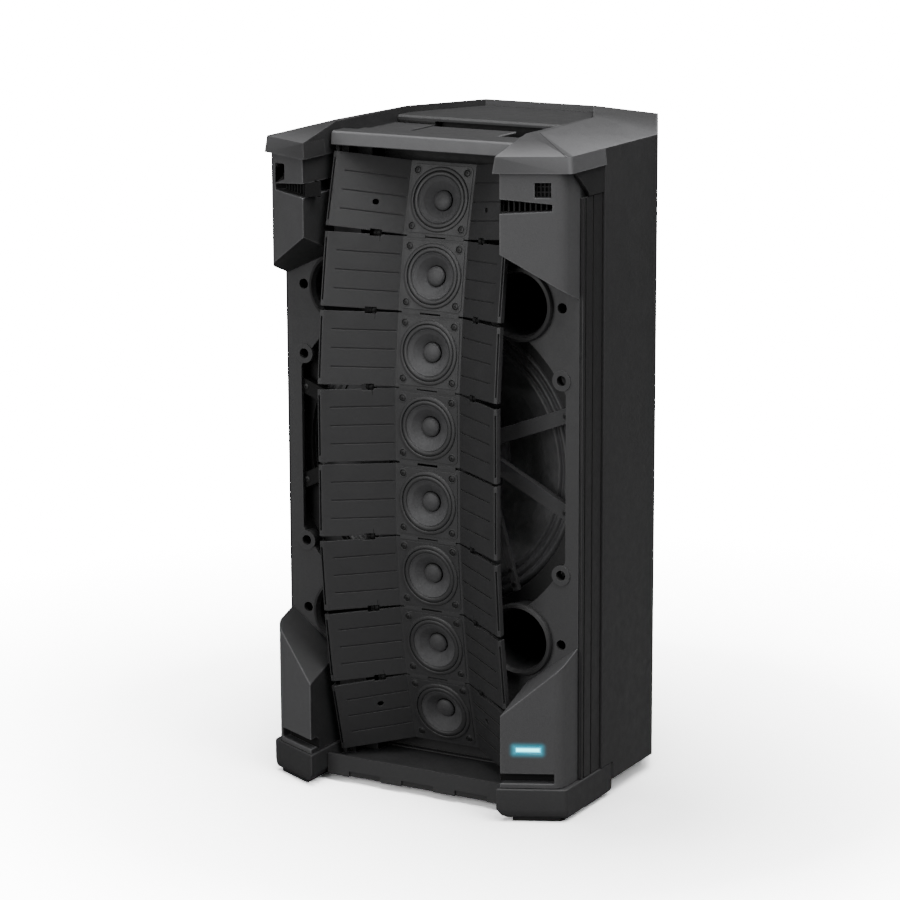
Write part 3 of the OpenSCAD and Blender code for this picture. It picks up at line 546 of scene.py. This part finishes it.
def place(name, me, body, matrix=None, stands_for=(), weighted=True):
    o = bpy.data.objects.new(name, me)
    scene.collection.objects.link(o)
    if matrix is not None:
        o.matrix_world = matrix
    if weighted:
        n = o.modifiers.new("normals", "WEIGHTED_NORMAL")
        n.keep_sharp = True
    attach(o, body)
    if stands_for:
        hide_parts(*stands_for)
    return o


# plate x, y, z to across, up, forward
TO_FRONT = Matrix(((1, 0, 0, 0), (0, 0, -1, 0), (0, 1, 0, 0), (0, 0, 0, 1)))
ROW = Matrix.Translation((0, FRONT, SOLE))  # from-the-front depths to the row frame, in millimetres


# ---- The array -----------------------------------------------------------------

ARRAY_Y, ARRAY_Z, PITCH, HINGE = 54.9, 323.8, 74.2, 11.0
BENDS = (0.0, 5.3, 3.2, 5.6)
PLATE_HW, WING_X, FLARE = 35.3, 94.8, 40.9
WING_A = math.atan(FLARE / (WING_X - PLATE_HW))
WING_LEN = math.hypot(WING_X - PLATE_HW, FLARE)
NOTCH = 34.0  # half height of a wing where a hinge sits in it


def tilt(k):
    return math.radians(sum(BENDS[:k + 1]))


def spot(k, back, up):
    c, t = centre(k), tilt(k)
    return c[0] + back * math.cos(t) + up * math.sin(t), c[1] - back * math.sin(t) + up * math.cos(t)


def centre(k):
    if k == 0:
        return ARRAY_Y, PITCH / 2
    p, t = spot(k - 1, -HINGE, PITCH / 2), tilt(k)
    return (p[0] + HINGE * math.cos(t) + PITCH / 2 * math.sin(t),
            p[1] - HINGE * math.sin(t) + PITCH / 2 * math.cos(t))


def module(n):
    """(steps from the fixed pair, +1 above or -1 below, body, matrix in metres) of module n."""
    k, s = (4 - n, 1) if n <= 4 else (n - 5, -1)
    c, t = centre(k), tilt(k) * s
    body = "cabinet" if n in (4, 5) else f"module_{n}"
    m = Matrix.Translation((0, (c[0] + FRONT) * MM, (ARRAY_Z + SOLE + s * c[1]) * MM))
    m = m @ Matrix.Rotation(-t, 4, "X")
    return k, s, body, m


def wing_matrix(side):
    """Wing plate coordinates (out along the wing, up, forward of its face) to the module's frame."""
    ca, sa = math.cos(WING_A), math.sin(WING_A)
    m = Matrix(((ca, 0, -sa, PLATE_HW), (-sa, 0, -ca, 0), (0, 1, 0, 0), (0, 0, 0, 1)))
    return Matrix.Scale(side, 4, (1, 0, 0)) @ m if side < 0 else m


def waveguide_mesh(k, s):
    bm = bmesh.new()
    b = 0.3
    toward, away = k > 0, k < 3
    notch_top = away if s > 0 else toward
    notch_low = toward if s > 0 else away
    hh = 35.75
    along = math.cos(WING_A)
    n0, n1 = (52.6 - PLATE_HW) / along, (61.9 - PLATE_HW) / along
    out = [(b, -hh + b)]
    if notch_low:
        out += [(n0 - b, -hh + b), (n0 - b, -NOTCH + b), (n1 + b, -NOTCH + b), (n1 + b, -hh + b)]
    out += [(WING_LEN, -hh + b), (WING_LEN, hh - b)]
    if notch_top:
        out += [(n1 + b, hh - b), (n1 + b, NOTCH - b), (n0 - b, NOTCH - b), (n0 - b, hh - b)]
    out += [(b, hh - b)]
    slots = [rect(1.6 - b, z - 0.6 - b, WING_LEN - 9 + b, z + 0.6 + b, 0.8, 4) for z in (-18.1, 0, 18.1)]
    if k == 3:
        slots.append(rect(26.6, -8 * s - 3, 33.4, -8 * s + 3, 2.9, 6))
    for side in (1, -1):
        m = wing_matrix(side)
        sheet(bm, [out] + slots, -1.3, 0, b, 0, m)
        back_sheet = [[(x + (0.4 if x < 1 else 0), y * 0.995) for x, y in out]]
        if k == 3:
            back_sheet.append(slots[-1])
        sheet(bm, back_sheet, -3, -1.35, 0.1, 0, m, 0)
        # the end wall with its slot, and the return flange
        end = Matrix.Scale(side, 4, (1, 0, 0)) if side < 0 else Matrix.Identity(4)
        back = 3 / math.cos(WING_A) - math.tan(WING_A) * (WING_X + 0.9 - PLATE_HW)
        block(bm, (WING_X + 2.5, -FLARE, -hh), (WING_X + 3.5, -34, hh), 0, 0.35, end)
        block(bm, (WING_X - 0.3, -FLARE, -hh), (WING_X + 0.9, back, hh), 0, 0.3, end)
        # painted shade: a near-black strip on the slot's floor
        block(bm, (WING_X, -FLARE + 2.6, -hh + 0.4), (WING_X + 3.2, -FLARE + 4.0, hh - 0.4), 1, 0, end)
        block(bm, (WING_X, -FLARE + 0.1, 30), (WING_X + 3.4, -FLARE + 4.0, hh), 0, 0.3, end)
        block(bm, (WING_X, -FLARE + 0.1, -hh), (WING_X + 3.4, -FLARE + 4.0, -30), 0, 0.3, end)
        # hinge knuckles
        for have, z, x in ((notch_top, 1, 53.5 if s > 0 else 57.3), (notch_low, -1, 57.3 if s > 0 else 53.5)):
            if not have:
                continue
            w = Matrix.Translation((0, -HINGE, z * PITCH / 2))
            knuckle = [(1.5, 0), (2.3, 0), (2.7, 0.3), (2.7, 3.2), (2.3, 3.5), (1.5, 3.5)]
            turn(bm, [(r, x + d) for r, d in knuckle], 2, 28, matrix=end @ w, axis="x")
            lo, hi = (29, 35.4) if z > 0 else (-35.4, -29)
            block(bm, (x, -HINGE - 1.8, lo), (x + 3.5, -HINGE + 3.0, hi), 2, 0.3, end)
            lo, hi = (29, 36.1) if z > 0 else (-36.1, -29)
            block(bm, (52.3, -HINGE + 4.3, lo), (62.2, -HINGE + 5.1, hi), 2, 0, end)
        # tab that covers the gap to the next module beside its middle
        for have, z in ((away, s), (k == 0 and s > 0, -1)):
            if have:
                lo, hi = sorted((z * 35.4, z * 38.7))
                block(bm, (11, -0.5, lo), (31, -0.1, hi), 0, 0.12, end)
    # the centre plate
    sheet(bm, [rect(-PLATE_HW, -36 + b, PLATE_HW, 36 - b), circle(0, 0, 28.5 + b, 64)], -3, 0, b, 0, TO_FRONT)
    return bm


def driver_frame_mesh():
    """Square flange with screw bosses, raised ring, basket and motor."""
    bm = bmesh.new()
    b = 0.25
    holes = [circle(x * 27, z * 27, 3.3 + b, 28) for x in (-1, 1) for z in (-1, 1)]
    outline = rect(-33 + b, -33 + b, 33 - b, 33 - b, 4.5, 6)
    sheet(bm, [outline, circle(0, 0, 29, 72)] + holes, 0.05, 0.65, b, 0, TO_FRONT)
    ring = [(31.6, -0.5), (31.4, -1.2), (31.0, -1.7), (30.2, -2.05),
            (28.6, -2.15), (28.0, -2.0), (27.7, -1.6), (27.6, -0.4)]
    turn(bm, ring, 1, 96)
    boss = [(4.5, -0.6), (4.4, -0.95), (4.1, -1.1), (3.6, -1.1), (3.4, -0.95), (3.3, -0.1)]
    head = [(3.0, -0.1), (3.0, -0.5), (2.7, -0.85), (1.9, -1.05), (0.9, -1.12), (0, -1.14)]
    for x in (-1, 1):
        for z in (-1, 1):
            c = (x * 27, z * 27)
            turn(bm, boss, 0, 32, c)
            # painted shade: a near-black disc on the recess floor round each head, and near-black crosses on
            # the heads for their cross slots
            turn(bm, [(3.35, -0.1), (0, -0.1)], 3, 24, c)
            turn(bm, head, 2, 28, c)
            for a in (0.35, 0.35 + math.pi / 2):
                r = Matrix.Translation((c[0], 0, c[1])) @ Matrix.Rotation(a, 4, "Y")
                block(bm, (-1.5, -1.2, -0.28), (1.5, -0.9, 0.28), 3, 0, r)
    turn(bm, [(28.2, 0), (28.2, 12.5), (13, 12.5), (13, 22), (0, 22)], 1, 48)
    return bm


def driver_cone_mesh():
    """Roll surround, glued lip, flared pulp cone and dust cap."""
    bm = bmesh.new()
    roll = [(27.5, -0.9), (27.3, -1.25)]
    for a in map(math.radians, range(10, 171, 20)):
        roll.append((25.1 + 2.1 * math.cos(a), -1.25 - 0.95 * math.sin(a)))
    roll += [(22.9, -1.2), (22.7, -0.95)]
    turn(bm, roll, 1, 96)
    lip = [(22.7, -0.95), (22.5, -1.25), (22.1, -1.25), (21.8, -0.8)]
    turn(bm, lip, 0, 96)
    cone = [(21.8, -0.8)]
    for i in range(1, 15):
        q = i / 14
        cone.append((21.8 - 11.6 * q, -0.55 + 8.2 * q ** 1.3 - (0.16 if i in (4, 5) else 0)))
    turn(bm, cone, 0, 96)
    # painted shade: a near-black ring where the dust cap meets the cone
    turn(bm, [(10.2, 7.65), (9.7, 8.3), (9.55, 8.2), (9.5, 6.6)], 3, 64)
    cap = [(9.5, 6.6)]
    for a in map(math.radians, range(12, 90, 13)):
        cap.append((9.5 * math.cos(a), 6.6 - 3.3 * math.sin(a)))
    turn(bm, cap + [(0, 3.3)], 2, 64)
    return bm


shared = {}
for i in range(1, 9):
    k, s, body, mat = module(i)
    if (k, s) not in shared:
        o = make(f"wave_module_{i}", waveguide_mesh(k, s), [mat_wave, mat_dark, mat_dark], body, mat,
                 (f"waveguide_{i}",))
        shared[(k, s)] = o
    if "frame" not in shared:
        o = make(f"driver_flange_{i}", driver_frame_mesh(), [mat_plate, mat_frame, mat_pin, mat_dark], body,
                 mat, (f"driver_frame_{i}",))
        shared["frame"] = o.data
        o = make(f"driver_diaphragm_{i}", driver_cone_mesh(), [mat_cone, mat_surround, mat_cap_dome, mat_dark],
                 f"cone_{i}", mat, (f"driver_cone_{i}",), sharp=0)
        shared["cone"] = o.data
    else:
        place(f"driver_flange_{i}", shared["frame"], body, mat, (f"driver_frame_{i}",))
        place(f"driver_diaphragm_{i}", shared["cone"], f"cone_{i}", mat, (f"driver_cone_{i}",))


# ---- Woofer --------------------------------------------------------------------

def woofer():
    bm = bmesh.new()
    y, z = 88.0, 325.5
    roll = [(146.0, y + 3.5), (145.2, y + 2.2)]
    for i in range(0, 33):
        r = 145 - 19.5 * i / 32
        roll.append((r, y + 1.6 - 2.6 * abs(math.sin(math.pi * (i / 32) * 2.5))))
    turn(bm, roll, 1, 128, (0, z))
    cone = [(125.5, y + 2.2), (124.6, y + 1.6), (123.6, y + 2.4)]
    for i in range(1, 21):
        q = i / 20
        cone.append((123.6 - 74.6 * q, y + 2.4 + 43 * q ** 1.12 - (0.7 if i in (5, 6, 12, 13) else 0)))
    turn(bm, cone, 0, 128, (0, z))
    turn(bm, [(49.0, y + 45.4), (48, y + 46.2), (47.2, y + 45)], 2, 96, (0, z))
    cap = [(47.2 * math.cos(a), y + 45 - 14 * math.sin(a)) for a in map(math.radians, range(0, 91, 10))]
    turn(bm, cap, 2, 96, (0, z))
    bm.transform(ROW)
    make("woofer_diaphragm", bm, [mat_woofer, mat_roll, mat_woofer], "woofer", None, ("woofer_cone",),
         sharp=0)


woofer()


# ---- Small parts seen on the mouldings ------------------------------------------

FACE_A = math.radians(25.5)


def on_face(side):
    """Pillar face coordinates (along the face, into it, up) to the row frame."""
    c, n = math.cos(FACE_A), math.sin(FACE_A)
    m = Matrix(((c, -n, 0, 105.9), (n, c, 0, 4.8), (0, 0, 1, 0), (0, 0, 0, 1)))
    return ROW @ (Matrix.Scale(side, 4, (1, 0, 0)) @ m if side < 0 else m)


def recess_shade_linings():
    """Near-black linings painted as the shade inside the recesses: ribs in the wedge slots, a grid in the
    square windows, the floor of the foot slots.
    """
    for side, label in ((1, "right"), (-1, "left")):
        bm = bmesh.new()
        m = on_face(side)
        block(bm, (31.9, 9, 597.1), (48, 10, 612), 1, 0, m)
        for i in range(4):
            block(bm, (33.6 + i * 3.7, 7.2, 597.6), (34.8 + i * 3.7, 9, 611.4), 0, 0.2, m)
        for z in (601.5, 606.5):
            block(bm, (32.5, 7.6, z), (47.4, 9, z + 1.1), 0, 0.2, m)
        block(bm, (1, 20, 582), (48.4, 21, 597), 1, 0, m)
        for i in range(9):
            x = 2.5 + i * 5
            low = 582.6 + (x + 6) * 3.1 / 54.5
            high = 596.4 - (x + 6) * 5.3 / 54.5
            block(bm, (x, 9, low), (x + 1.5, 20, high - 1.2), 0, 0.25, m)
        block(bm, (0.5, 9.2, 34.6), (51, 9.8, 43.8), 1, 0, m)
        block(bm, (0.8, 3, 583), (1.4, 21, 596.6), 1, 0, m)
        make(f"recess_shade_lining_{label}", bm, [mat_rib, mat_dark], "cabinet")


def screw(bm, x, y, z, r, m, mat=0, depth=1.2, slot=0.8):
    """Pan head facing -Y at (x, z), standing on the plane y, with a near-black cross painted as the shade of
    its recess.
    """
    w = m @ Matrix.Translation((x, y, z))
    head = [(r, 0), (r, -depth * 0.45), (r * 0.86, -depth * 0.8), (r * 0.5, -depth), (0, -depth * 1.04)]
    turn(bm, head, mat, 24, matrix=w)
    # painted shade: near-black blocks for the cross slots
    for a in (0.4, 0.4 + math.pi / 2):
        lo, hi = (-r * 0.55, -depth * 1.1, -r * 0.11), (r * 0.55, -depth * slot, r * 0.11)
        block(bm, lo, hi, 1, 0, w @ Matrix.Rotation(a, 4, "Y"))


BACK = ROW @ Matrix.Scale(-1, 4, (0, 1, 0))


def fixings():
    bm = bmesh.new()
    for x in (-65, 65):
        for z in (118, 248, 382, 512):
            screw(bm, x, -364, z, 3.4, BACK)
    for x, z in ((40, 478), (40, 438), (0, 492), (0, 424)):
        for dx, dz in ((-9.1, 9.1), (9.1, -9.1)):
            screw(bm, x + dx, -365.5, z + dz, 1.5, BACK, depth=0.7)
    for x in (-45.2, -12.8):
        screw(bm, x, -365.7, 142, 1.3, BACK, depth=0.6)
    make("panel_screws", bm, [mat_steel, mat_dark], "cabinet")
    bm = bmesh.new()
    for s in (-1, 1):
        d = Vector((35 * s, 0, -124)).normalized()
        for t in (122, 108):
            p = Vector((52 * s, 0, 330)) + d * t
            screw(bm, p.x, 72.8, p.z, 2.2, ROW, depth=0.9)
        for z in (388.5, 287.5):
            a = Vector((32.5 * s, 0, 343 if z > 300 else 348))
            b = Vector((152 * s, 0, z))
            p = a + (b - a) * 0.93
            screw(bm, p.x, 66.2, p.z, 3.0, ROW, depth=1.0)
    make("brace_screws", bm, [mat_pin, mat_dark], "cabinet")


def seam(name, node, points, width=0.5, lift=0.06, steps=24):
    """Thin dark parting line laid on a node's surface between points, in row-frame metres."""
    o = nodes[node]
    dg = bpy.context.evaluated_depsgraph_get()
    e = o.evaluated_get(dg)
    inv = o.matrix_world.inverted()
    bm = bmesh.new()
    rows = []
    for a, b in zip(points, points[1:]):
        for i in range(steps + 1):
            q = a.lerp(b, i / steps)
            ok, hit, normal, _ = e.closest_point_on_mesh(inv @ q)
            if not ok:
                continue
            along = (b - a).normalized()
            out = along.cross(normal).normalized() * (width / 2 * MM)
            hit = o.matrix_world @ hit + normal * lift * MM
            rows.append([bm.verts.new((hit + out) / MM), bm.verts.new((hit - out) / MM)])
    for r, t in zip(rows, rows[1:]):
        bm.faces.new((r[0], r[1], t[1], t[0]))
    bmesh.ops.recalc_face_normals(bm, faces=bm.faces)
    make(name, bm, [mat_dark], "cabinet", sharp=0, weighted=False)


def row_point(x, y, z):
    return Vector((x, y + FRONT, z + SOLE)) * MM


recess_shade_linings()
fixings()
for side, label in ((1, "right"), (-1, "left")):
    ends = [row_point(side * 110.8, 74.0, 649.7), row_point(side * 162.5, 29.5, 635.6)]
    seam(f"horn_seam_{label}", "top_cap", ends)


# ---- Stage, lights and camera ---------------------------------------------------

def stage_floor():
    """Pale studio floor with a painted soft shadow round a spot in front of the object, fading to white away
    from it.
    """
    bpy.ops.mesh.primitive_circle_add(vertices=96, radius=9, fill_type="NGON", location=(0, 0, 0))
    floor = bpy.context.object
    floor.name = "studio_floor"
    m = bpy.data.materials.new("studio_paper")
    m.use_nodes = True
    nt = m.node_tree
    nt.nodes.clear()
    out = nt.nodes.new("ShaderNodeOutputMaterial")
    near = add(nt, "ShaderNodeBsdfDiffuse", Color=(0.16, 0.16, 0.16, 1))
    seen = nt.nodes.new("ShaderNodeBsdfDiffuse")
    # painted shadow: the floor's camera-seen colour is darker near a spot in front of the object
    shade = nt.nodes.new("ShaderNodeVectorMath")
    shade.operation = "DISTANCE"
    shade.inputs[1].default_value = (0.20, -0.10, 0)
    nt.links.new(object_coords(nt), shade.inputs[0])
    away = ramp(nt, shade.outputs["Value"], 0.05, 0.60)
    nt.links.new(mix_colour(nt, away, (1.9, 1.9, 1.9), (6.0, 6.0, 6.0)), seen.inputs[0])
    far = add(nt, "ShaderNodeEmission", Color=(1, 1, 1, 1), Strength=18)
    path = nt.nodes.new("ShaderNodeLightPath")
    mix1 = nt.nodes.new("ShaderNodeMixShader")
    mix2 = nt.nodes.new("ShaderNodeMixShader")
    nt.links.new(path.outputs["Is Camera Ray"], mix1.inputs[0])
    nt.links.new(near.outputs[0], mix1.inputs[1])
    nt.links.new(seen.outputs[0], mix1.inputs[2])
    length = nt.nodes.new("ShaderNodeVectorMath")
    length.operation = "LENGTH"
    nt.links.new(object_coords(nt), length.inputs[0])
    fade = ramp(nt, length.outputs["Value"], 0.42, 1.0)
    fade = math_node(nt, "MULTIPLY", fade, path.outputs["Is Camera Ray"])
    nt.links.new(fade, mix2.inputs[0])
    nt.links.new(mix1.outputs[0], mix2.inputs[1])
    nt.links.new(far.outputs[0], mix2.inputs[2])
    nt.links.new(mix2.outputs[0], out.inputs[0])
    floor.data.materials.append(m)


def area_light(name, location, target, size, power, colour=(1, 1, 1)):
    data = bpy.data.lights.new(name, "AREA")
    data.shape = "RECTANGLE"
    data.size, data.size_y = size
    data.energy = power
    data.color = colour
    o = bpy.data.objects.new(name, data)
    scene.collection.objects.link(o)
    o.location = location
    o.rotation_euler = (Vector(target) - Vector(location)).to_track_quat("-Z", "Y").to_euler()
    o.visible_camera = False
    return o


def world_light():
    """White studio round the object: plain white where the camera sees it, a dim even fill as light."""
    w = bpy.data.worlds.new("studio")
    scene.world = w
    w.use_nodes = True
    nt = w.node_tree
    nt.nodes.clear()
    out = nt.nodes.new("ShaderNodeOutputWorld")
    fill = add(nt, "ShaderNodeBackground", Strength=0.12)
    white = add(nt, "ShaderNodeBackground", Strength=18.0)
    fill.inputs[0].default_value = (1, 1, 1, 1)
    white.inputs[0].default_value = (1, 1, 1, 1)
    path = nt.nodes.new("ShaderNodeLightPath")
    mix = nt.nodes.new("ShaderNodeMixShader")
    nt.links.new(path.outputs["Is Camera Ray"], mix.inputs[0])
    nt.links.new(fill.outputs[0], mix.inputs[1])
    nt.links.new(white.outputs[0], mix.inputs[2])
    nt.links.new(mix.outputs[0], out.inputs[0])


def camera():
    data = bpy.data.cameras.new("camera")
    data.sensor_width = 36
    data.lens = 3177.03 / 900 * 36
    cam = bpy.data.objects.new("camera", data)
    scene.collection.objects.link(cam)
    az, el, roll = (math.radians(v) for v in (29.419, 13.016, -0.263))
    d = Vector((-math.sin(az) * math.cos(el), math.cos(az) * math.cos(el), -math.sin(el)))
    r = Vector((math.cos(az), math.sin(az), 0))
    u = r.cross(d)
    r2 = r * math.cos(roll) + u * math.sin(roll)
    u2 = u * math.cos(roll) - r * math.sin(roll)
    cam.matrix_world = Matrix((
        (r2.x, u2.x, -d.x, 1.4818), (r2.y, u2.y, -d.y, -2.7154),
        (r2.z, u2.z, -d.z, 1.0317), (0, 0, 0, 1)))
    data.clip_start, data.clip_end = 0.1, 50
    scene.camera = cam


stage_floor()
world_light()
area_light("overhead", (0.5, -0.2, 2.6), (0, 0, 0.3), (2.4, 2.4), 125)
area_light("front_fill", (-0.6, -3.2, 1.2), (0, 0, 0.3), (2.2, 1.8), 62)
area_light("right_fill", (2.7, -1.0, 2.1), (0, 0, 0.4), (1.4, 1.4), 34)
camera()
